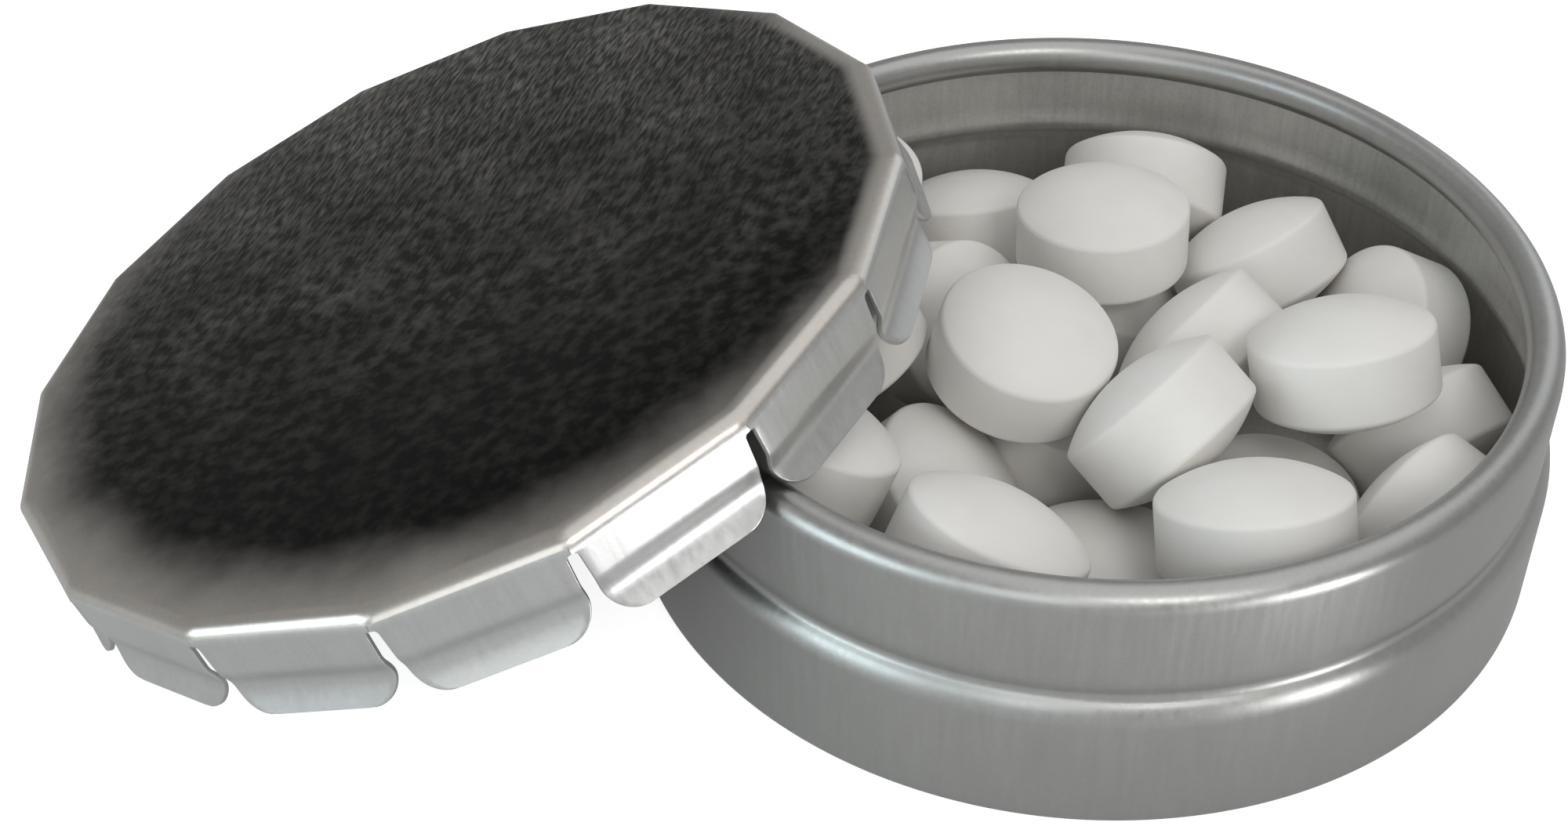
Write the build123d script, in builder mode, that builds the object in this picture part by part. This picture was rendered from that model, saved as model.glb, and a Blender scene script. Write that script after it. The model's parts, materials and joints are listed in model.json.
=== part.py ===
# Round pocket tin of sweets with its click lid taken off and leaning on the rim.
# Millimetres, +Z up. The origin is the middle of the tin's underside, on the table,
# and the lid lies towards -X.

import os
from math import asin, cos, degrees, hypot, pi, radians, sin, sqrt

import numpy as np
from build123d import *

# Sheet metal
sheet = 0.28
tight_bend = 0.2

# Drawn base
rim_radius = 23.3
tin_height = 14.4
body_step = 0.55
shoulder_height = 8.2
groove_depth = 0.5
groove_width = 1.3
foot_bend = 0.9
roll_radius = 0.78
roll_turn = 270

# Pressed lid
lid_sides = 16
lid_corner_radius = 24.5
lid_bend = 0.6
skirt_height = 5.6
border_width = 4.03
panel_dish = 0.6
bend_gap = 0.1
panel_gap = 0.2

# Spring tabs of the lid
slit_top = 0.45
slit_bottom = 0.75
tab_corner = 1.6
bead_depth = 0.5
bead_top_share = 0.6
bead_middle_share = 0.72
bead_bottom_share = 0.84
lip_flare = 0.25
bead_bend = 0.5

# How the lid leans: its skirt stands on the table and straddles the rim at a slit
table_gap = 0.1
rim_gap = 0.12
slit_sink = 0.4
seat_angle = 44.5

# Sweets
mint_diameter = 9.3
mint_band = 3.4
mint_dome = 1.45
mint_softness = 0.35
mint_gap = 0.06

# One overrun for every cut
overrun = 1.0

# Sweets as they lie, the lowest first: X and Y shares of the free radius, height share of
# the inside, then the degrees of lean and the bearing that the upper face leans to
mint_shares = [
    (0.10, 0.58, 0.26, 20, 20),
    (-0.08, 0.00, 0.25, 20, 20),
    (0.50, -0.87, 0.27, 10, -150),
    (-0.93, -0.36, 0.24, 5, -65),
    (-0.97, 0.18, 0.24, 5, -100),
    (-0.75, 0.66, 0.26, 5, -130),
    (-0.40, -0.92, 0.24, 5, -25),
    (0.04, -0.62, 0.24, 10, 95),
    (0.52, -0.34, 0.30, 0, 0),
    (-0.43, -0.40, 0.34, 40, -15),
    (-0.30, 0.93, 0.35, 25, 105),
    (-0.37, 0.38, 0.38, 60, -45),
    (0.99, -0.09, 0.34, 60, 125),
    (0.96, 0.41, 0.36, 60, -165),
    (0.92, -0.58, 0.46, 80, 135),
    (0.57, 0.58, 0.46, 38, 140),
    (0.25, 0.97, 0.49, 52, 82),
    (0.36, 0.14, 0.50, 60, 145),
    (-0.31, -0.90, 0.70, 30, 40),
    (0.20, -0.34, 0.70, 55, 145),
    (-0.73, -0.02, 0.72, 30, 165),
    (0.39, -0.82, 0.74, 25, 105),
    (0.08, 0.52, 0.75, 5, 120),
    (-0.80, -0.57, 0.75, 30, 35),
    (-0.19, -0.09, 0.76, 15, -35),
    (-0.75, 0.63, 0.78, 5, -50),
    (0.71, -0.19, 0.77, 22, 120),
]
ring_shares = (0, 0.35, 0.7, 0.9, 1)
ring_points = 36
settle_rounds = 400
settled_share = 0.1
lowering_share = 0.2

# Worked-out sizes
body_radius = rim_radius + body_step
groove_radius = rim_radius - groove_depth
groove_height = shoulder_height + groove_width / 2
upper_wall_height = shoulder_height + groove_width
outer_bend = sheet + tight_bend
inner_radius = groove_radius - sheet
facet_angle = 360 / lid_sides
facet_distance = lid_corner_radius * cos(pi / lid_sides)
facet_length = 2 * lid_corner_radius * sin(pi / lid_sides)
panel_radius = facet_distance - border_width
tab_top = -lid_bend - bend_gap
mint_radius = mint_diameter / 2
dome_radius = (mint_radius**2 + mint_dome**2) / (2 * mint_dome)
dome_middle = mint_band / 2 + mint_dome - dome_radius

# The leaning lid's plane
seat_radius = rim_radius - roll_radius
skirt_radius = lid_corner_radius - sheet
seat_reach = skirt_radius * cos(radians(seat_angle))
seat_rise = tin_height + rim_gap - slit_sink - table_gap
lean = asin(seat_rise / (skirt_radius + seat_reach))
seat_y = skirt_radius * sin(radians(seat_angle))
skirt_x = -sqrt(seat_radius**2 - seat_y**2) - seat_reach * cos(lean)
skirt_z = skirt_radius * sin(lean) + table_gap
lid_up = Vector(-sin(lean), 0, cos(lean))
lid_along = Vector(cos(lean), 0, sin(lean))
lid_middle = Vector(skirt_x, 0, skirt_z) + lid_up * skirt_height
lid_plane = Plane(origin=lid_middle, x_dir=lid_along, z_dir=lid_up)


def save(part, name):
    part.label = name
    export_step(part, f"parts/{name}.step")


# Points all over a sweet's surface, in its own axes
def mint_surface():
    turns = np.linspace(0, 2 * pi, ring_points, endpoint=False)
    rings = []
    for share in ring_shares:
        out = mint_radius * share
        rise = dome_middle + sqrt(dome_radius**2 - out**2)
        for height in (-rise, rise):
            ring = (out * np.cos(turns), out * np.sin(turns), np.full(ring_points, height))
            rings.append(np.column_stack(ring))
    return np.concatenate(rings)


# A sweet's own axes as rows, its leaning axis last
def mint_axes(tilt, bearing):
    up = Vector(0, 0, 1).rotate(Axis.Y, tilt).rotate(Axis.Z, bearing)
    plane = Plane(origin=(0, 0, 0), z_dir=up)
    return np.array([tuple(plane.x_dir), tuple(plane.y_dir), tuple(plane.z_dir)])


# The step that takes the deepest of some points out, or none where no depth is positive
def deepest_step(depths, ways):
    worst = depths.argmax()
    return max(depths[worst], 0) * ways[worst]


# Step that takes a sweet's points out of another sweet and its gap
def step_off_mint(points, middle, axes):
    places = (points - middle) @ axes.T
    centre = np.array([0, 0, dome_middle])
    band_steps = places * [1, 1, 0]
    surfaces = [(mint_radius, band_steps), (dome_radius, places - centre), (dome_radius, places + centre)]
    depths = []
    ways = []
    for radius, steps in surfaces:
        lengths = np.maximum(np.linalg.norm(steps, axis=1), mint_gap)
        depths.append(radius + mint_gap - lengths)
        ways.append(steps / lengths[:, None])
    nearest = np.argmin(depths, axis=0)
    every = np.arange(len(points))
    return deepest_step(np.min(depths, axis=0), np.array(ways)[nearest, every]) @ axes


# Step that takes a sweet's points off the bottom, the wall and the curled rim
def step_off_tin(points):
    outs = np.hypot(points[:, 0], points[:, 1])
    inwards = -points * [1, 1, 0] / np.maximum(outs, mint_gap)[:, None]
    under_roll = points[:, 2] < tin_height - 2 * roll_radius - mint_gap
    walls = np.where(under_roll, inner_radius, rim_radius - 2 * roll_radius)
    upwards = np.tile([0, 0, 1], (len(points), 1))
    side_step = deepest_step(outs + mint_gap - walls, inwards)
    return side_step + deepest_step(sheet + mint_gap - points[:, 2], upwards)


# Step that takes a sweet's points out from under the skirt and the panel of the leaning lid
def step_off_lid(points):
    places = points - np.array(tuple(lid_middle))
    heights = places @ np.array(tuple(lid_up))
    outs = np.linalg.norm(places - heights[:, None] * np.array(tuple(lid_up)), axis=1)
    inside = facet_distance - sheet - bead_depth - mint_gap
    outside = lid_corner_radius + lip_flare + mint_gap
    ceilings = np.where(outs < inside, -panel_dish - sheet, -skirt_height) - mint_gap
    depths = np.where(outs < outside, heights - ceilings, 0)
    return deepest_step(depths, np.tile(-np.array(tuple(lid_up)), (len(points), 1)))


# The step that takes a sweet off the tin and the lid, and the steps off each sweet near it
def steps_clear(number, middles, axes):
    points = middles[number] + mint_surface() @ axes[number]
    reach = 2 * hypot(mint_radius, mint_band / 2 + mint_dome)
    near = [
        other for other in range(len(middles))
        if other != number and np.linalg.norm(middles[other] - middles[number]) < reach
    ]
    off_near = {other: step_off_mint(points, middles[other], axes[other]) for other in near}
    return step_off_tin(points) + step_off_lid(points), off_near


# Pushes the sweets apart by small steps until each is clear of the others, the tin and the lid
def push_apart(middles, axes):
    for _ in range(settle_rounds):
        steps = np.zeros_like(middles)
        for number in range(len(middles)):
            off_walls, off_near = steps_clear(number, middles, axes)
            steps[number] += off_walls
            for other, step in off_near.items():
                steps[number] += step / 2
                steps[other] -= step / 2
        middles += steps
        if np.abs(steps).max() < settled_share * mint_gap:
            break


# Lowers each sweet that touches nothing, the lowest first, until it rests on something
def lower_loose(middles, axes):
    for number in np.argsort(middles[:, 2]):
        while True:
            off_walls, off_near = steps_clear(number, middles, axes)
            if any(off_walls) or any(any(step) for step in off_near.values()):
                break
            middles[number][2] -= lowering_share * mint_gap


# Every sweet's middle and axis as the heap lies
def settle_mints():
    inside_height = tin_height - sheet
    free_radius = inner_radius - mint_radius
    middles = np.array([
        (x_share * free_radius, y_share * free_radius, sheet + height_share * inside_height)
        for x_share, y_share, height_share, tilt, bearing in mint_shares
    ])
    axes = [mint_axes(tilt, bearing) for x_share, y_share, height_share, tilt, bearing in mint_shares]
    push_apart(middles, axes)
    lower_loose(middles, axes)
    return [(Vector(*middle), Vector(*own[2])) for middle, own in zip(middles, axes)]


os.makedirs("parts", exist_ok=True)

# Base: one drawn cup with a bottom bend, a rolled groove and a rim curled inwards
roll_middle = (rim_radius - roll_radius, tin_height - roll_radius)
with BuildPart() as tin_base:
    with BuildSketch(Plane.XZ):
        with BuildLine():
            wall = FilletPolyline(
                (0, 0),
                (body_radius, 0),
                (body_radius, shoulder_height),
                (groove_radius, groove_height),
                (rim_radius, upper_wall_height),
                (rim_radius, tin_height - roll_radius),
                radius=[foot_bend, outer_bend, tight_bend, outer_bend],
            )
            CenterArc(roll_middle, roll_radius, 0, roll_turn)
            offset(amount=sheet, side=Side.LEFT)
        make_face()
    revolve(axis=Axis.Z)
save(tin_base.part, "tin_base")

# Lid rim: the flat border of the lid and the bend over its sixteen sides
with BuildPart() as lid_rim:
    with BuildSketch(lid_plane.offset(-lid_bend)):
        RegularPolygon(radius=lid_corner_radius, side_count=lid_sides)
    extrude(amount=lid_bend)
    top_edges = lid_rim.faces().sort_by(Axis(lid_middle, lid_up))[-1].edges()
    fillet(top_edges, radius=lid_bend - tight_bend / 2)
    inside_radius = (facet_distance - sheet) / cos(pi / lid_sides)
    with BuildSketch(lid_plane.offset(-sheet)):
        RegularPolygon(radius=inside_radius, side_count=lid_sides)
    extrude(amount=-lid_bend, mode=Mode.SUBTRACT)
    with BuildSketch(lid_plane.offset(-lid_bend)):
        Circle(panel_radius)
    extrude(amount=lid_bend + overrun, mode=Mode.SUBTRACT)
save(lid_rim.part, "lid_rim")

# Lid panel: the dished middle of the lid that clicks up and down
panel_edge = panel_radius - panel_gap
dish_radius = (panel_edge**2 + panel_dish**2) / (2 * panel_dish)
dish_turn = degrees(asin(panel_edge / dish_radius))
with BuildPart() as lid_click_panel:
    with BuildSketch(Plane(origin=lid_middle, x_dir=lid_along, z_dir=(0, -1, 0))):
        with BuildLine():
            upper = CenterArc((0, dish_radius - panel_dish), dish_radius, -90, dish_turn)
            lower = CenterArc((0, dish_radius - panel_dish - sheet), dish_radius, -90, dish_turn)
            Line(upper @ 0, lower @ 0)
            Line(upper @ 1, lower @ 1)
        make_face()
    revolve(axis=Axis(lid_middle, lid_up))
save(lid_click_panel.part, "lid_click_panel")


# Spring tab: an upright leaf with an inward bead and a lip that flares out
def spring_tab(turn):
    outwards = lid_plane.x_dir * cos(turn) + lid_plane.y_dir * sin(turn)
    sideways = lid_plane.y_dir * cos(turn) - lid_plane.x_dir * sin(turn)
    bead_distance = facet_distance - bead_depth
    with BuildPart() as tab:
        with BuildSketch(Plane(origin=lid_middle, x_dir=outwards, z_dir=-sideways)):
            with BuildLine():
                FilletPolyline(
                    (facet_distance, tab_top),
                    (facet_distance, -skirt_height * bead_top_share),
                    (bead_distance, -skirt_height * bead_middle_share),
                    (facet_distance, -skirt_height * bead_bottom_share),
                    (facet_distance + lip_flare, -skirt_height),
                    radius=bead_bend,
                )
                offset(amount=sheet, side=Side.RIGHT)
            make_face()
        extrude(amount=facet_length / 2, both=True)
        with BuildSketch(Plane(origin=lid_middle, x_dir=sideways, z_dir=outwards)):
            with BuildLine():
                top_half = (facet_length - slit_top) / 2
                bottom_half = (facet_length - slit_bottom) / 2
                Polyline(
                    (-top_half, tab_top),
                    (top_half, tab_top),
                    (bottom_half, -skirt_height),
                    (-bottom_half, -skirt_height),
                    close=True,
                )
            leaf = make_face()
            fillet(leaf.vertices().group_by(Axis.Y)[0], radius=tab_corner)
        extrude(amount=lid_corner_radius + overrun, mode=Mode.INTERSECT)
    return tab.part


for number in range(lid_sides):
    save(spring_tab(radians((number + 0.5) * facet_angle)), f"lid_tab_{number + 1:02d}")


# Sweet: a round tablet with a straight band and two domed faces
def mint(middle, up):
    side = Plane(origin=middle, z_dir=up).x_dir
    edge_turn = degrees(asin(mint_radius / dome_radius))
    with BuildPart() as tablet:
        with BuildSketch(Plane(origin=middle, x_dir=side, z_dir=side.cross(up))):
            with BuildLine():
                upper = CenterArc((0, dome_middle), dome_radius, 90 - edge_turn, edge_turn)
                lower = CenterArc((0, -dome_middle), dome_radius, -90, edge_turn)
                Line(lower @ 1, upper @ 0)
                Line(upper @ 1, lower @ 0)
            tablet_half = make_face()
            fillet(tablet_half.vertices().group_by(Axis.X)[-1], radius=mint_softness)
        revolve(axis=Axis(middle, up))
    return tablet.part


for number, (middle, up) in enumerate(settle_mints()):
    save(mint(middle, up), f"mint_{number + 1:02d}")
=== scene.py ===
# Round pocket tin of white peppermints. Its sixteen-sided click lid is off and leans on the rim.
import json
from math import acos, asin, atan2, cos, hypot, pi, radians, sin, sqrt, tan

import bmesh
import bpy
import numpy as np
from mathutils import Matrix, Vector


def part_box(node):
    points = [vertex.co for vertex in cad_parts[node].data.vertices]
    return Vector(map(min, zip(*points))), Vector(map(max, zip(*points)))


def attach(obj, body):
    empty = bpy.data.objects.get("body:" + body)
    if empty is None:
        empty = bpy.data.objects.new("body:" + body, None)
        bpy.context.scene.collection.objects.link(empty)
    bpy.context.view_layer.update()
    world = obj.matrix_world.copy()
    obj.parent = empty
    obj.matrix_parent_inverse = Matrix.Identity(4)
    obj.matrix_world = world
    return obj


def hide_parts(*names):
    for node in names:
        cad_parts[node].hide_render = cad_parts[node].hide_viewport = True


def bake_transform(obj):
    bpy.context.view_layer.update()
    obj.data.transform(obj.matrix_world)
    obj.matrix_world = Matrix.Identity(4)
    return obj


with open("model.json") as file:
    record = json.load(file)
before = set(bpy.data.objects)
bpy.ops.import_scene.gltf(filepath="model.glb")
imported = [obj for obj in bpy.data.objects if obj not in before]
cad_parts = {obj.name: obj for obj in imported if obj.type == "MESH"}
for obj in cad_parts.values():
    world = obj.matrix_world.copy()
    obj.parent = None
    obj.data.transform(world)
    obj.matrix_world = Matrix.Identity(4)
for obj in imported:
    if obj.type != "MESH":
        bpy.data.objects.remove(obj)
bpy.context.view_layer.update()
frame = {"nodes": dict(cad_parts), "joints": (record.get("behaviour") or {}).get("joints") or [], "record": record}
mm = 0.001

# Camera: it looks down over the near side of the tin, as in the photograph.
camera_data = bpy.data.cameras.new("camera")
camera_data.sensor_width = 36
camera_data.lens = 54.33
camera_data.clip_start = 10 * mm
camera = bpy.data.objects.new("camera", camera_data)
camera.location = (-11.126 * mm, -95.865 * mm, 86.380 * mm)
camera.rotation_euler = (radians(49.611), radians(0.401), radians(2.336))
bpy.context.scene.collection.objects.link(camera)
bpy.context.scene.camera = camera
bpy.context.scene.view_settings.view_transform = "Standard"

# Floor: a plain pale sheet that runs far past the tin and keeps its soft shadow.
# What the lens sees of it is lifted towards white, and what metal mirrors of it is lifted less.
floor_size = 4.0
floor_drop = 0.02 * mm
floor_color = (0.58, 0.58, 0.58, 1)
floor_glow = 0.84
mirrored_share = 0.12

floor_shape = bmesh.new()
bmesh.ops.create_grid(floor_shape, x_segments=1, y_segments=1, size=floor_size / 2)
bmesh.ops.translate(floor_shape, vec=(0, 0, -floor_drop), verts=floor_shape.verts)
floor_mesh = bpy.data.meshes.new("floor")
floor_shape.to_mesh(floor_mesh)
floor_shape.free()
floor = bpy.data.objects.new("floor", floor_mesh)
bpy.context.scene.collection.objects.link(floor)

floor_material = bpy.data.materials.new("pale_floor")
floor_material.use_nodes = True
floor_nodes = floor_material.node_tree.nodes
floor_links = floor_material.node_tree.links
floor_shader = floor_nodes["Principled BSDF"]
floor_shader.inputs["Base Color"].default_value = floor_color
floor_shader.inputs["Roughness"].default_value = 0.9
floor_shader.inputs["Specular IOR Level"].default_value = 0.1
floor_shader.inputs["Emission Color"].default_value = (1, 1, 1, 1)
floor_rays = floor_nodes.new("ShaderNodeLightPath")
floor_seen = floor_nodes.new("ShaderNodeMath")
floor_seen.operation = "MAXIMUM"
floor_mirrored = floor_nodes.new("ShaderNodeMath")
floor_mirrored.operation = "MULTIPLY_ADD"
floor_mirrored.inputs[1].default_value = mirrored_share
floor_lift = floor_nodes.new("ShaderNodeMath")
floor_lift.operation = "MULTIPLY"
floor_lift.inputs[1].default_value = floor_glow
floor_links.new(floor_rays.outputs["Is Camera Ray"], floor_seen.inputs[0])
floor_links.new(floor_rays.outputs["Is Transmission Ray"], floor_seen.inputs[1])
floor_links.new(floor_rays.outputs["Is Glossy Ray"], floor_mirrored.inputs[0])
floor_links.new(floor_seen.outputs[0], floor_mirrored.inputs[2])
floor_links.new(floor_mirrored.outputs[0], floor_lift.inputs[0])
floor_links.new(floor_lift.outputs[0], floor_shader.inputs["Emission Strength"])
floor_mesh.materials.append(floor_material)

# Light: an even room, a window high at the front right, a wide ceiling lamp, cool lamps low at
# the left and in front, a weak one behind, and a small narrow card beside the lid's near tab.
room_light = 0.38
room = bpy.data.worlds.new("room")
bpy.context.scene.world = room
room.use_nodes = True
room_nodes = room.node_tree.nodes
room_links = room.node_tree.links
room_background = room_nodes["Background"]
room_background.inputs["Color"].default_value = (1, 1, 1, 1)
room_rays = room_nodes.new("ShaderNodeLightPath")
room_strength = room_nodes.new("ShaderNodeMapRange")
room_strength.inputs["To Min"].default_value = room_light
room_strength.inputs["To Max"].default_value = 1
room_links.new(room_rays.outputs["Is Camera Ray"], room_strength.inputs["Value"])
room_links.new(room_strength.outputs["Result"], room_background.inputs["Strength"])


def soft_lamp(name, place, aim, width, height, power, color, spread=pi):
    lamp_data = bpy.data.lights.new(name, "AREA")
    lamp_data.shape = "RECTANGLE"
    lamp_data.size = width
    lamp_data.size_y = height
    lamp_data.spread = spread
    lamp_data.energy = power
    lamp_data.color = color
    lamp = bpy.data.objects.new(name, lamp_data)
    lamp.location = place
    lamp.rotation_euler = (Vector(aim) - Vector(place)).to_track_quat("-Z", "Y").to_euler()
    lamp.visible_camera = False
    bpy.context.scene.collection.objects.link(lamp)


tin_middle = (0, 0, 0.01)
near_lid = (-0.035, -0.023, 0.011)
near_tab = (-0.020, -0.020, 0.015)
soft_lamp(
    "window_lamp", place=(0.11, -0.30, 0.30), aim=tin_middle, width=0.12, height=0.12, power=0.30,
    color=(1, 0.985, 0.96),
)
soft_lamp(
    "ceiling_lamp", place=(0.10, 0.02, 0.46), aim=tin_middle, width=0.60, height=0.60, power=0.70,
    color=(1, 1, 1),
)
soft_lamp(
    "left_lamp", place=(-0.235, -0.175, 0.085), aim=near_lid, width=0.17, height=0.14, power=0.22,
    color=(0.80, 0.95, 1),
)
soft_lamp(
    "front_lamp", place=(-0.065, -0.27, 0.13), aim=near_lid, width=0.10, height=0.16, power=0.09,
    color=(0.93, 0.99, 1),
)
soft_lamp(
    "back_lamp", place=(0.25, 0.30, 0.16), aim=tin_middle, width=0.20, height=0.20, power=0.10,
    color=(0.90, 0.97, 1),
)
soft_lamp(
    "low_card", place=(0.024, -0.046, 0.009), aim=near_tab, width=0.026, height=0.010, power=0.0008,
    color=(1, 1, 1), spread=radians(36),
)

# Base of the tin: one cup drawn from thin tinplate. A groove is rolled in under the mouth,
# where the lid's tabs grip, and the rim is curled inwards over itself.
sheet = 0.28 * mm
cup_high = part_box("tin_base")[1]
body_radius = cup_high.x
tin_height = cup_high.z
shoulder_width = 0.55 * mm
rim_radius = body_radius - shoulder_width
groove_depth = 0.2 * mm
groove_radius = rim_radius - groove_depth
shoulder_height = 7.35 * mm
groove_height = 8.15 * mm
upper_wall_height = 9.1 * mm
roll_radius = 1.05 * mm
roll_turn = radians(270)
curl_share = 0.76
roll_height = tin_height - roll_radius
roll_middle = rim_radius - roll_radius
foot_bend = 0.9 * mm
shoulder_bend = 1.6 * mm
groove_bend = 0.6 * mm
upper_bend = 3.5 * mm
bend_steps = 8
roll_steps = 24
cup_steps = 256
merge_gap = 0.001 * mm
crease = radians(40)


# Makes a finished shape into a piece with one finish, smooth but for its open and sharp edges.
def make_piece(name, shape, material):
    for face in shape.faces:
        face.smooth = True
    for edge in shape.edges:
        edge.smooth = len(edge.link_faces) == 2 and edge.calc_face_angle() < crease
    mesh = bpy.data.meshes.new(name)
    shape.to_mesh(mesh)
    shape.free()
    mesh.materials.append(material)
    piece = bpy.data.objects.new(name, mesh)
    bpy.context.scene.collection.objects.link(piece)
    return piece


# Gives a wall of sheet metal its thickness behind its outer face.
def thicken(piece, thickness):
    wall = piece.modifiers.new("sheet", "SOLIDIFY")
    wall.thickness = thickness
    wall.offset = -1
    wall.use_even_offset = True
    return wall


# Rounds a corner of an outline made of straight edges.
def round_corner(outline, corner, radius):
    first, second = [edge.other_vert(corner).co - corner.co for edge in corner.link_edges]
    turn = pi - first.angle(second)
    bmesh.ops.bevel(
        outline, geom=[corner], offset=radius * tan(turn / 2), offset_type="OFFSET",
        affect="VERTICES", segments=bend_steps, profile=0.5, material=-1,
    )


# Tinplate: bright satin sheet with a fine grain and faint drawing marks up its walls. A part
# that bends carries its pattern in an attribute of its own.
def tinplate(name, color, roughness, grain_depth, tone_share, own_place=""):
    material = bpy.data.materials.new(name)
    material.use_nodes = True
    nodes = material.node_tree.nodes
    links = material.node_tree.links
    shader = nodes["Principled BSDF"]
    shader.inputs["Metallic"].default_value = 1
    if own_place:
        place_node = nodes.new("ShaderNodeAttribute")
        place_node.name = own_place
        place_node.attribute_name = own_place
        place = place_node.outputs["Vector"]
    else:
        place = nodes.new("ShaderNodeTexCoord").outputs["Object"]

    clouds = nodes.new("ShaderNodeTexNoise")
    clouds.inputs["Scale"].default_value = 260
    clouds.inputs["Detail"].default_value = 3
    marks_stretch = nodes.new("ShaderNodeMapping")
    marks_stretch.inputs["Scale"].default_value = (3200, 3200, 260)
    marks = nodes.new("ShaderNodeTexNoise")
    marks.inputs["Scale"].default_value = 1
    marks.inputs["Detail"].default_value = 2
    grain = nodes.new("ShaderNodeTexNoise")
    grain.inputs["Scale"].default_value = 5200
    grain.inputs["Detail"].default_value = 3

    shade = nodes.new("ShaderNodeMix")
    shade.data_type = "RGBA"
    shade.inputs["A"].default_value = (*[(1 - tone_share) * part for part in color], 1)
    shade.inputs["B"].default_value = (*[(1 + tone_share) * part for part in color], 1)
    gloss = nodes.new("ShaderNodeMapRange")
    gloss.inputs["To Min"].default_value = 0.8 * roughness
    gloss.inputs["To Max"].default_value = 1.25 * roughness
    mixed_marks = nodes.new("ShaderNodeMath")
    mixed_marks.operation = "ADD"
    tone = nodes.new("ShaderNodeMath")
    tone.operation = "ADD"
    even_tone = nodes.new("ShaderNodeMapRange")
    even_tone.inputs["From Min"].default_value = 1.1
    even_tone.inputs["From Max"].default_value = 1.9
    relief = nodes.new("ShaderNodeBump")
    relief.inputs["Distance"].default_value = grain_depth
    relief.inputs["Strength"].default_value = 1

    links.new(place, clouds.inputs["Vector"])
    links.new(place, grain.inputs["Vector"])
    links.new(place, marks_stretch.inputs["Vector"])
    links.new(marks_stretch.outputs["Vector"], marks.inputs["Vector"])
    links.new(marks.outputs["Fac"], mixed_marks.inputs[0])
    links.new(grain.outputs["Fac"], mixed_marks.inputs[1])
    links.new(mixed_marks.outputs[0], tone.inputs[0])
    links.new(clouds.outputs["Fac"], tone.inputs[1])
    links.new(tone.outputs[0], even_tone.inputs["Value"])
    links.new(even_tone.outputs["Result"], shade.inputs["Factor"])
    links.new(shade.outputs["Result"], shader.inputs["Base Color"])
    links.new(marks.outputs["Fac"], gloss.inputs["Value"])
    links.new(gloss.outputs["Result"], shader.inputs["Roughness"])
    links.new(mixed_marks.outputs[0], relief.inputs["Height"])
    links.new(relief.outputs["Normal"], shader.inputs["Normal"])
    return material


cup = bmesh.new()
cup_corners = [
    cup.verts.new(point)
    for point in (
        (0, 0, 0),
        (body_radius, 0, 0),
        (body_radius, 0, shoulder_height),
        (groove_radius, 0, groove_height),
        (rim_radius, 0, upper_wall_height),
        (rim_radius, 0, roll_height),
    )
]
for lower, upper in zip(cup_corners, cup_corners[1:]):
    cup.edges.new((lower, upper))
bmesh.ops.spin(
    cup, geom=[cup_corners[-1]], cent=(roll_middle, 0, roll_height), axis=(0, -1, 0),
    dvec=(0, 0, 0), angle=roll_turn, steps=roll_steps, use_merge=False, use_duplicate=False,
)
# The inner half of the rolled rim is curled tighter than the outer half.
for vert in cup.verts:
    if vert.co.z > upper_wall_height and vert.co.x < roll_middle:
        vert.co.x = roll_middle - curl_share * (roll_middle - vert.co.x)
        vert.co.z = max(vert.co.z, roll_height + curl_share * (vert.co.z - roll_height))
for corner, radius in zip(cup_corners[1:], (foot_bend, shoulder_bend, groove_bend, upper_bend)):
    round_corner(cup, corner, radius)
bmesh.ops.spin(
    cup, geom=cup.verts[:] + cup.edges[:], cent=(0, 0, 0), axis=(0, 0, 1), dvec=(0, 0, 0),
    angle=2 * pi, steps=cup_steps, use_merge=True, use_duplicate=False,
)
bmesh.ops.remove_doubles(cup, verts=cup.verts, dist=merge_gap)
bmesh.ops.recalc_face_normals(cup, faces=cup.faces)
base_metal = tinplate(
    "base_tinplate", color=(0.44, 0.44, 0.428), roughness=0.38, grain_depth=0.004 * mm, tone_share=0.05,
)
# The inside takes a lighter, less mirror-like copy of the tinplate: painted light that lifts the shaded inside
# wall.
inner_metal = tinplate(
    "inner_tinplate_painted_light", color=(0.62, 0.612, 0.587), roughness=0.42, grain_depth=0.008 * mm,
    tone_share=0.12,
)
inner_metal.node_tree.nodes["Principled BSDF"].inputs["Metallic"].default_value = 0.75
tin_cup = make_piece("tin_cup", cup, base_metal)
tin_cup.data.materials.append(inner_metal)
cup_wall = thicken(tin_cup, sheet)
cup_wall.material_offset = 1
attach(tin_cup, "base")
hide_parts("tin_base")

# Lid: pressed from one sheet. Its flat border bends down over sixteen sides, and the round
# middle is dished, so that it clicks up and down. The top is coloured dark and mottled, a painted dark reflection
# that grows paler towards its rim.
joints = {joint["name"]: joint for joint in frame["joints"]}
lid_sides = 16
facet_angle = 2 * pi / lid_sides
lid_up = Vector(joints["panel_click"]["axis"])
lid_along = Vector((lid_up.z, 0, -lid_up.x))
hinges = [Vector(joints[f"tab_{number + 1:02d}_flex"]["pos_m"]) for number in range(lid_sides)]
hinge_middle = sum(hinges, Vector()) / lid_sides
lid_top_height = max(vert.co.dot(lid_up) for vert in frame["nodes"]["lid_rim"].data.vertices)
lid_middle = hinge_middle + lid_up * (lid_top_height - hinge_middle.dot(lid_up))
lid_place = Matrix.Translation(lid_middle) @ Matrix((lid_along, (0, 1, 0), lid_up)).transposed().to_4x4()
facet_distance = (hinges[0] - hinge_middle).length + sheet / 2
tab_top = (hinge_middle - lid_middle).dot(lid_up)
border_width = 4.03 * mm
panel_radius = facet_distance - border_width
panel_dish = 0.6 * mm
edge_bend = 0.95 * mm
border_drop = 0.12 * mm
bend_start = facet_distance - edge_bend
border_reach = bend_start - panel_radius
edge_turn = acos(1 + (tab_top + border_drop) / edge_bend)
panel_cuts = 23
border_cuts = 9
facet_steps = 24
lid_steps = facet_steps * lid_sides


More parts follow.
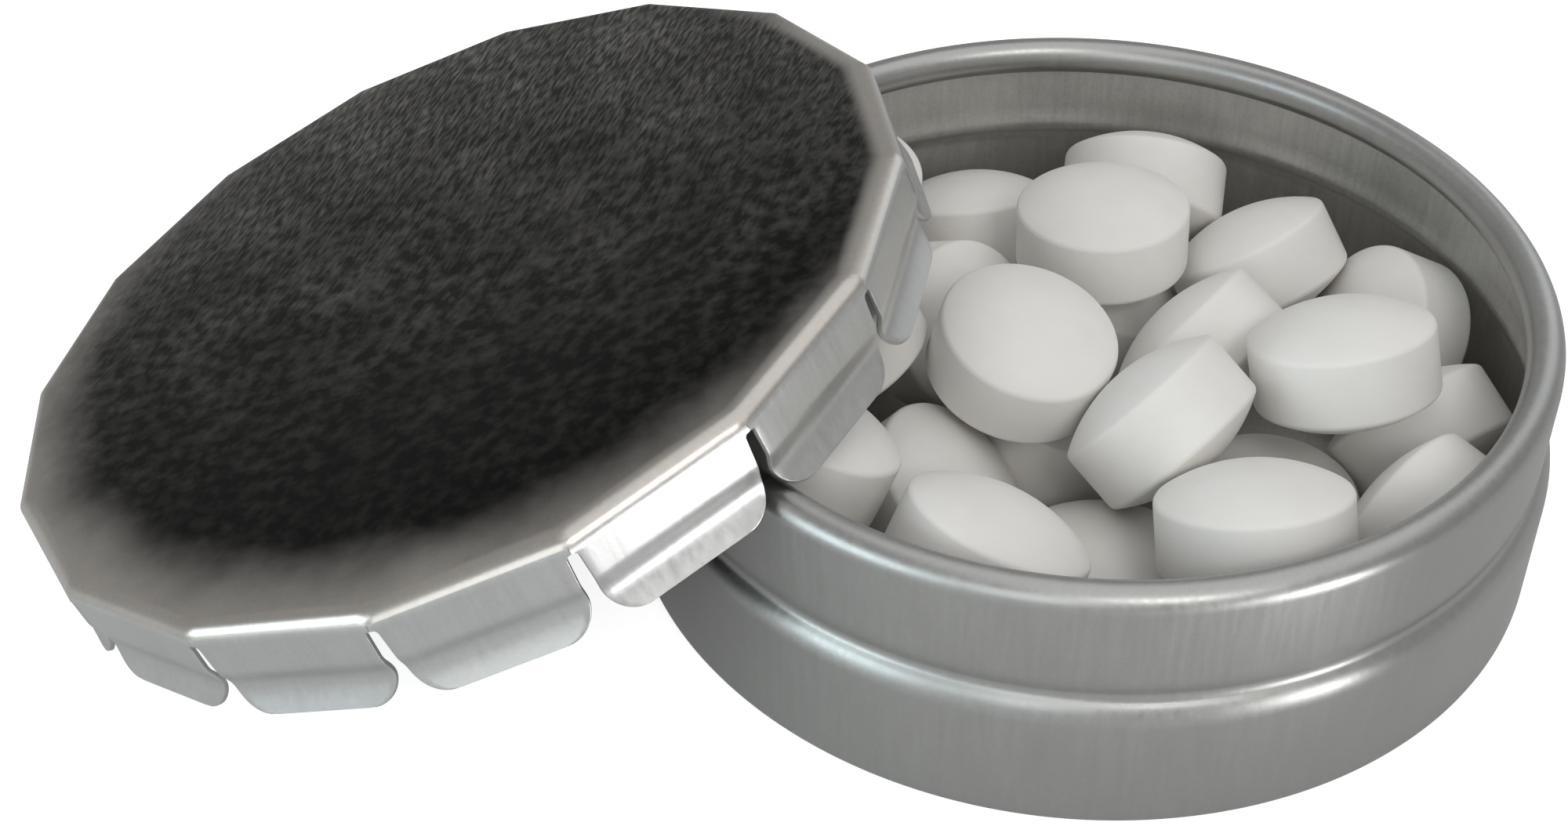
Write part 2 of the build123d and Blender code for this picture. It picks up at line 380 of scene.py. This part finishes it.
# How far the press has sunk the lid at a distance from its middle
def pressed_height(out):
    if out < panel_radius:
        return -panel_dish * (1 - (out / panel_radius) ** 2) ** 2
    return -border_drop * min((out - panel_radius) / border_reach, 1) ** 2


# How much farther out a sixteen-sided edge lies than its facets' middles
def facet_reach(turn):
    return 1 / cos(turn % facet_angle - facet_angle / 2)


# Writes each point's place on the lid at rest, which the finish follows when the lid bends
def keep_place(shape):
    lid_spot = shape.verts.layers.float_vector.new("lid_spot")
    for vert in shape.verts:
        vert[lid_spot] = vert.co


lid_top = bmesh.new()
lid_points = [
    lid_top.verts.new(point)
    for point in ((0, 0, 0), (panel_radius, 0, 0), (bend_start, 0, 0))
]
lid_lines = [lid_top.edges.new(pair) for pair in zip(lid_points, lid_points[1:])]
bmesh.ops.spin(
    lid_top, geom=[lid_points[-1]], cent=(bend_start, 0, -edge_bend), axis=(0, 1, 0), dvec=(0, 0, 0),
    angle=edge_turn, steps=bend_steps, use_merge=False, use_duplicate=False,
)
for line, cuts in zip(lid_lines, (panel_cuts, border_cuts)):
    bmesh.ops.subdivide_edges(lid_top, edges=[line], cuts=cuts)
bmesh.ops.spin(
    lid_top, geom=lid_top.verts[:] + lid_top.edges[:], cent=(0, 0, 0), axis=(0, 0, 1), dvec=(0, 0, 0),
    angle=2 * pi, steps=lid_steps, use_merge=True, use_duplicate=False,
)
bmesh.ops.remove_doubles(lid_top, verts=lid_top.verts, dist=merge_gap)
rim_reach = lid_top.verts.layers.float.new("rim_reach")
for vert in lid_top.verts:
    out = hypot(vert.co.x, vert.co.y)
    squareness = min(max((out - panel_radius) / border_reach, 0), 1)
    stretch = 1 + squareness * (facet_reach(atan2(vert.co.y, vert.co.x)) - 1)
    vert.co = (vert.co.x * stretch, vert.co.y * stretch, vert.co.z + pressed_height(out))
    vert[rim_reach] = out
keep_place(lid_top)
bmesh.ops.recalc_face_normals(lid_top, faces=lid_top.faces)
lid_dish_shape = lid_top.copy()


# Keeps the faces of the lid that lie inside or outside the click panel, and lays them on the tin
def trim_lid(shape, inside):
    spare = [
        face for face in shape.faces
        if (face.calc_center_median().xy.length < panel_radius) != inside
    ]
    bmesh.ops.delete(shape, geom=spare, context="FACES")
    bmesh.ops.transform(shape, matrix=lid_place, verts=shape.verts)


trim_lid(lid_top, False)
trim_lid(lid_dish_shape, True)

# Where the dark finish, a painted dark reflection with a painted pale rim, changes, measured from the lid's
# middle. The lid's Y runs to its far side.
streak_slant = radians(-20)
streak_width = 0.20 * mm
streak_length = 0.95 * mm
streaks_from = -9 * mm
streaks_full = 18 * mm
# Painted shade runs from darkest at the lid's near side to palest at its far side.
painted_darkest_from = -18 * mm
painted_palest_from = 28 * mm
# The painted dark reflection's off-centre middle, and where it turns into a pale painted ring.
painted_dark_middle = (1.2 * mm, 2.2 * mm)
painted_dark_reach = 22.6 * mm
painted_pale_reach = 28.4 * mm
ragged_reach = 3 * mm
# Where the painted sheen on the near side of the bend starts and ends.
painted_sheen_inside = 0.7 * mm
painted_sheen_outside = 0.2 * mm
painted_sheen_from = -12 * mm
near_turn = radians(-60)


# Dark mottled colour of the lid's top, a painted dark reflection: darker at the near side and paler to the far
# side, with a pale painted ring round an off-centre middle. Around the near side the bend takes the satin metal
# colour too, as a painted sheen.
def mottled_lid_painted_reflection():
    material = tinplate(
        "mottled_lid_painted_reflection", color=(0.58, 0.55, 0.51), roughness=0.34, grain_depth=0.003 * mm, tone_share=0.05,
        own_place="lid_spot",
    )
    nodes = material.node_tree.nodes
    links = material.node_tree.links
    shader = nodes["Principled BSDF"]
    lid_spot = nodes["lid_spot"]
    parts = nodes.new("ShaderNodeSeparateXYZ")

    streak_turn = nodes.new("ShaderNodeMapping")
    streak_turn.vector_type = "TEXTURE"
    streak_turn.inputs["Rotation"].default_value = (0, 0, streak_slant)
    streak_turn.inputs["Scale"].default_value = (streak_width, streak_length, mm)
    streaks = nodes.new("ShaderNodeTexNoise")
    streaks.inputs["Scale"].default_value = 1
    streaks.inputs["Detail"].default_value = 5
    blotches = nodes.new("ShaderNodeTexNoise")
    blotches.inputs["Scale"].default_value = 1150
    blotches.inputs["Detail"].default_value = 3
    patches = nodes.new("ShaderNodeTexNoise")
    patches.inputs["Scale"].default_value = 170
    patches.inputs["Detail"].default_value = 3
    uneven = nodes.new("ShaderNodeMapRange")
    uneven.inputs["From Min"].default_value = 0.3
    uneven.inputs["From Max"].default_value = 0.7
    uneven.inputs["To Min"].default_value = 0.65
    uneven.inputs["To Max"].default_value = 1.35
    graded_painted_shade = nodes.new("ShaderNodeMath")
    graded_painted_shade.operation = "MULTIPLY"
    strength = nodes.new("ShaderNodeMapRange")
    strength.inputs["From Min"].default_value = streaks_from
    strength.inputs["From Max"].default_value = streaks_full
    pattern = nodes.new("ShaderNodeMix")
    pattern.data_type = "FLOAT"
    # Painted dark reflection: the mottle runs from near black to dark grey.
    dark = nodes.new("ShaderNodeValToRGB")
    dark.color_ramp.elements[0].position = 0.41
    dark.color_ramp.elements[0].color = (0.024, 0.024, 0.022, 1)
    dark.color_ramp.elements[1].position = 0.70
    dark.color_ramp.elements[1].color = (0.16, 0.155, 0.141, 1)
    # Painted shade: the dark colour is darker on the near side of the lid and paler to its far side.
    depth = nodes.new("ShaderNodeMapRange")
    depth.interpolation_type = "SMOOTHSTEP"
    depth.inputs["From Min"].default_value = painted_darkest_from
    depth.inputs["From Max"].default_value = painted_palest_from
    depth.inputs["To Min"].default_value = 0.18
    depth.inputs["To Max"].default_value = 1.9
    deep = nodes.new("ShaderNodeVectorMath")
    deep.operation = "SCALE"

    # Painted reflection: the dark middle sits off-centre, and a pale ring with a ragged edge runs round it.
    shift = nodes.new("ShaderNodeMapping")
    shift.inputs["Location"].default_value = (-painted_dark_middle[0], -painted_dark_middle[1], 0)
    shift.inputs["Scale"].default_value = (1, 1, 0)
    reach = nodes.new("ShaderNodeVectorMath")
    reach.operation = "LENGTH"
    ragged = nodes.new("ShaderNodeMath")
    ragged.operation = "MULTIPLY_ADD"
    ragged.inputs[1].default_value = ragged_reach
    ring = nodes.new("ShaderNodeMapRange")
    ring.interpolation_type = "SMOOTHSTEP"
    ring.inputs["From Min"].default_value = painted_dark_reach
    ring.inputs["From Max"].default_value = painted_pale_reach
    # Painted sheen: towards the lid's near side the bend turns pale metal colour.
    edge_reach = nodes.new("ShaderNodeAttribute")
    edge_reach.attribute_name = "rim_reach"
    edge = nodes.new("ShaderNodeMapRange")
    edge.interpolation_type = "SMOOTHSTEP"
    edge.inputs["From Min"].default_value = bend_start - painted_sheen_inside
    edge.inputs["From Max"].default_value = bend_start + painted_sheen_outside
    near = nodes.new("ShaderNodeVectorMath")
    near.operation = "DOT_PRODUCT"
    near.inputs[1].default_value = (cos(near_turn), sin(near_turn), 0)
    near_painted_sheen = nodes.new("ShaderNodeMapRange")
    near_painted_sheen.interpolation_type = "SMOOTHSTEP"
    near_painted_sheen.inputs["From Min"].default_value = painted_sheen_from
    near_painted_sheen.inputs["From Max"].default_value = 0
    painted_edge_sheen = nodes.new("ShaderNodeMath")
    painted_edge_sheen.operation = "MULTIPLY"
    # Where the painted pale ring or the painted sheen lies, the colour turns from the dark to the satin metal
    # colour.
    painted_pale = nodes.new("ShaderNodeMath")
    painted_pale.operation = "MAXIMUM"
    color = nodes.new("ShaderNodeMix")
    color.data_type = "RGBA"
    metal_color = shader.inputs["Base Color"].links[0].from_socket
    gloss = nodes.new("ShaderNodeMapRange")
    gloss.inputs["To Min"].default_value = 0.42
    gloss.inputs["To Max"].default_value = 0.29

    links.new(lid_spot.outputs["Vector"], parts.inputs["Vector"])
    links.new(lid_spot.outputs["Vector"], streak_turn.inputs["Vector"])
    links.new(streak_turn.outputs["Vector"], streaks.inputs["Vector"])
    links.new(lid_spot.outputs["Vector"], blotches.inputs["Vector"])
    links.new(parts.outputs["Y"], strength.inputs["Value"])
    links.new(strength.outputs["Result"], pattern.inputs["Factor"])
    links.new(blotches.outputs["Fac"], pattern.inputs["A"])
    links.new(streaks.outputs["Fac"], pattern.inputs["B"])
    links.new(pattern.outputs["Result"], dark.inputs["Fac"])
    links.new(lid_spot.outputs["Vector"], shift.inputs["Vector"])
    links.new(shift.outputs["Vector"], reach.inputs[0])
    links.new(lid_spot.outputs["Vector"], patches.inputs["Vector"])
    links.new(patches.outputs["Fac"], ragged.inputs[0])
    links.new(patches.outputs["Fac"], uneven.inputs["Value"])
    links.new(reach.outputs["Value"], ragged.inputs[2])
    links.new(ragged.outputs[0], ring.inputs["Value"])
    links.new(edge_reach.outputs["Fac"], edge.inputs["Value"])
    links.new(lid_spot.outputs["Vector"], near.inputs[0])
    links.new(near.outputs["Value"], near_painted_sheen.inputs["Value"])
    links.new(edge.outputs["Result"], painted_edge_sheen.inputs[0])
    links.new(near_painted_sheen.outputs["Result"], painted_edge_sheen.inputs[1])
    links.new(ring.outputs["Result"], painted_pale.inputs[0])
    links.new(painted_edge_sheen.outputs[0], painted_pale.inputs[1])
    links.new(painted_pale.outputs[0], color.inputs["Factor"])
    links.new(parts.outputs["Y"], depth.inputs["Value"])
    links.new(depth.outputs["Result"], graded_painted_shade.inputs[0])
    links.new(uneven.outputs["Result"], graded_painted_shade.inputs[1])
    links.new(dark.outputs["Color"], deep.inputs[0])
    links.new(graded_painted_shade.outputs[0], deep.inputs["Scale"])
    links.new(deep.outputs["Vector"], color.inputs["A"])
    links.new(metal_color, color.inputs["B"])
    links.new(color.outputs["Result"], shader.inputs["Base Color"])
    links.new(painted_pale.outputs[0], gloss.inputs["Value"])
    links.new(gloss.outputs["Result"], shader.inputs["Roughness"])
    return material


lid_mottle_painted_reflection = mottled_lid_painted_reflection()
lid_border = make_piece("lid_border", lid_top, lid_mottle_painted_reflection)
thicken(lid_border, sheet)
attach(lid_border, "lid")
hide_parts("lid_rim")

lid_dish = make_piece("lid_dish", lid_dish_shape, lid_mottle_painted_reflection)
thicken(lid_dish, sheet)
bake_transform(lid_dish)
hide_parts("lid_click_panel")

# Spring tabs: the skirt of the lid is cut by sixteen slits with rounded ends. Each leaf has
# an inward bead that snaps into the groove of the tin, and a lip that flares out.
skirt_height = 5.6 * mm
mitre_gap = 0.01 * mm
slit_start = 0.35 * mm
slit_top = 0.6 * mm
slit_bottom = 1.0 * mm
tab_corner = 1.6 * mm
bead_depth = 0.32 * mm
bead_start_share = 0.50
bead_share = 0.73
lip_ease_share = 0.38
lip_flare = 0.25 * mm
cut_edge = 0.05 * mm
cut_turn = radians(60)
cut_steps = 3
leaf_columns = 20
leaf_rows = 72
tab_length = skirt_height + tab_top
lid_metal = tinplate(
    "lid_tinplate", color=(0.60, 0.60, 0.594), roughness=0.36, grain_depth=0.003 * mm, tone_share=0.05,
    own_place="lid_spot",
)


# How far the leaf lies inside the flat facet, where the sheet still bends below the lid's border
def bend_sag(down):
    rest = max(edge_bend + border_drop + tab_top - down, 0)
    return edge_bend - sqrt(edge_bend**2 - rest**2)


# How far the leaf stands out from the facet at a share of the skirt's height
def pressed_leaf(share):
    dip = min(max((share - bead_start_share) / (bead_share - bead_start_share), 0), 1)
    lip = max(share - bead_share, 0) / (1 - bead_share)
    turn_out = (hypot(lip, lip_ease_share) - lip_ease_share) / (hypot(1, lip_ease_share) - lip_ease_share)
    return (bead_depth + lip_flare) * turn_out - bead_depth * (1 - cos(pi * dip)) / 2


# Half the leaf's width at a distance below its bend
def leaf_half_width(down):
    slit = slit_top / 2
    below = down - slit_start
    if below < 0:
        gap = mitre_gap
    elif below < slit:
        gap = sqrt(slit**2 - (slit - below) ** 2)
    else:
        gap = slit + (slit_bottom / 2 - slit) * (below - slit) / (tab_length - slit_start - slit)
    corner = max(0, 1 - (tab_length - down) / tab_corner)
    facet_half = (facet_distance - bend_sag(down)) * tan(facet_angle / 2)
    return facet_half - gap - tab_corner * (1 - sqrt(1 - corner**2))


# One leaf, pressed from a flat grid, given its thickness and laid at its own side of the lid
def spring_tab(number):
    leaf = bmesh.new()
    bmesh.ops.create_grid(leaf, x_segments=leaf_columns, y_segments=leaf_rows, size=0.5)
    for vert in leaf.verts:
        down = tab_length * (1 - cos(pi * (0.5 - vert.co.y))) / 2
        out = facet_distance - bend_sag(down) + pressed_leaf((down - tab_top) / skirt_height)
        vert.co = (out, 2 * vert.co.x * leaf_half_width(down), tab_top - down)
    bmesh.ops.recalc_face_normals(leaf, faces=leaf.faces)
    bmesh.ops.solidify(leaf, geom=leaf.faces[:], thickness=sheet)
    slit_height = tab_top - slit_start
    cuts = [
        edge for edge in leaf.edges
        if edge.calc_face_angle() > cut_turn and max(vert.co.z for vert in edge.verts) < slit_height
    ]
    bmesh.ops.bevel(
        leaf, geom=cuts, offset=cut_edge, offset_type="OFFSET", affect="EDGES", segments=cut_steps,
        profile=0.5, material=-1,
    )
    keep_place(leaf)
    turn = Matrix.Rotation((number + 0.5) * facet_angle, 4, "Z")
    bmesh.ops.transform(leaf, matrix=lid_place @ turn, verts=leaf.verts)
    return leaf


for number in range(lid_sides):
    tab_name = f"tab_{number + 1:02d}"
    tab = make_piece(f"spring_{tab_name}", spring_tab(number), lid_metal)
    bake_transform(tab)
    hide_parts(f"lid_{tab_name}")

# Mints: round tablets pressed from sugar, chalky and off-white, with a straight band and two
# domed faces that meet it in a softly worn shoulder. They lie loose in a heap in the base.
mint_radius = 4.65 * mm
mint_band = 3.4 * mm
mint_dome = 1.45 * mm
mint_shoulder = 0.36 * mm
dome_steps = 14
mint_steps = 80
dome_radius = (mint_radius**2 + mint_dome**2) / (2 * mint_dome)
dome_middle = mint_band / 2 + mint_dome - dome_radius
dome_turn = asin(mint_radius / dome_radius)


def pressed_sugar():
    material = bpy.data.materials.new("pressed_sugar")
    material.use_nodes = True
    nodes = material.node_tree.nodes
    links = material.node_tree.links
    shader = nodes["Principled BSDF"]
    shader.inputs["Roughness"].default_value = 0.62
    shader.inputs["Specular IOR Level"].default_value = 0.35
    shader.inputs["Subsurface Weight"].default_value = 0.25
    shader.inputs["Subsurface Scale"].default_value = 0.6 * mm
    shader.inputs["Subsurface Radius"].default_value = (1, 0.9, 0.75)
    place = nodes.new("ShaderNodeTexCoord")
    clouds = nodes.new("ShaderNodeTexNoise")
    clouds.inputs["Scale"].default_value = 420
    clouds.inputs["Detail"].default_value = 4
    shade = nodes.new("ShaderNodeMix")
    shade.data_type = "RGBA"
    shade.inputs["A"].default_value = (0.80, 0.78, 0.745, 1)
    shade.inputs["B"].default_value = (0.88, 0.865, 0.84, 1)
    powder = nodes.new("ShaderNodeTexNoise")
    powder.inputs["Scale"].default_value = 3800
    powder.inputs["Detail"].default_value = 4
    relief = nodes.new("ShaderNodeBump")
    relief.inputs["Distance"].default_value = 0.012 * mm
    links.new(place.outputs["Object"], clouds.inputs["Vector"])
    links.new(clouds.outputs["Fac"], shade.inputs["Factor"])
    links.new(shade.outputs["Result"], shader.inputs["Base Color"])
    links.new(place.outputs["Object"], powder.inputs["Vector"])
    links.new(powder.outputs["Fac"], relief.inputs["Height"])
    links.new(relief.outputs["Normal"], shader.inputs["Normal"])
    return material


def pressed_mint():
    tablet = bmesh.new()
    crown = tablet.verts.new((0, 0, dome_middle + dome_radius))
    bmesh.ops.spin(
        tablet, geom=[crown], cent=(0, 0, dome_middle), axis=(0, 1, 0), dvec=(0, 0, 0),
        angle=dome_turn, steps=dome_steps, use_merge=False, use_duplicate=False,
    )
    upper = max(tablet.verts, key=lambda vert: vert.co.x)
    lower = tablet.verts.new((mint_radius, 0, -mint_band / 2))
    tablet.edges.new((upper, lower))
    bmesh.ops.spin(
        tablet, geom=[lower], cent=(0, 0, -dome_middle), axis=(0, 1, 0), dvec=(0, 0, 0),
        angle=dome_turn, steps=dome_steps, use_merge=False, use_duplicate=False,
    )
    for corner in (upper, lower):
        round_corner(tablet, corner, mint_shoulder)
    bmesh.ops.spin(
        tablet, geom=tablet.verts[:] + tablet.edges[:], cent=(0, 0, 0), axis=(0, 0, 1), dvec=(0, 0, 0),
        angle=2 * pi, steps=mint_steps, use_merge=True, use_duplicate=False,
    )
    bmesh.ops.remove_doubles(tablet, verts=tablet.verts, dist=merge_gap)
    bmesh.ops.recalc_face_normals(tablet, faces=tablet.faces)
    return tablet


# The middle of a mint's CAD node, and its axis, which most of its surface faces
def mint_seat(node):
    low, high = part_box(node.name)
    faces = [(face.area, np.array(face.normal)) for face in node.data.polygons]
    facing = sum(area * np.outer(normal, normal) for area, normal in faces)
    axis = Vector(np.linalg.eigh(facing)[1][:, -1])
    return (low + high) / 2, axis if axis.z > 0 else -axis


sugar = pressed_sugar()
bodies = {name: body for body, names in frame["record"]["behaviour"]["bodies"].items() for name in names}
mint_names = sorted(name for name in frame["nodes"] if name.startswith("mint_"))
for name in mint_names:
    middle, axis = mint_seat(frame["nodes"][name])
    tablet = pressed_mint()
    seat = Matrix.Translation(middle) @ axis.to_track_quat("Z", "Y").to_matrix().to_4x4()
    bmesh.ops.transform(tablet, matrix=seat, verts=tablet.verts)
    mint = make_piece(f"pressed_{name}", tablet, sugar)
    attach(mint, bodies[name])
    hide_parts(name)
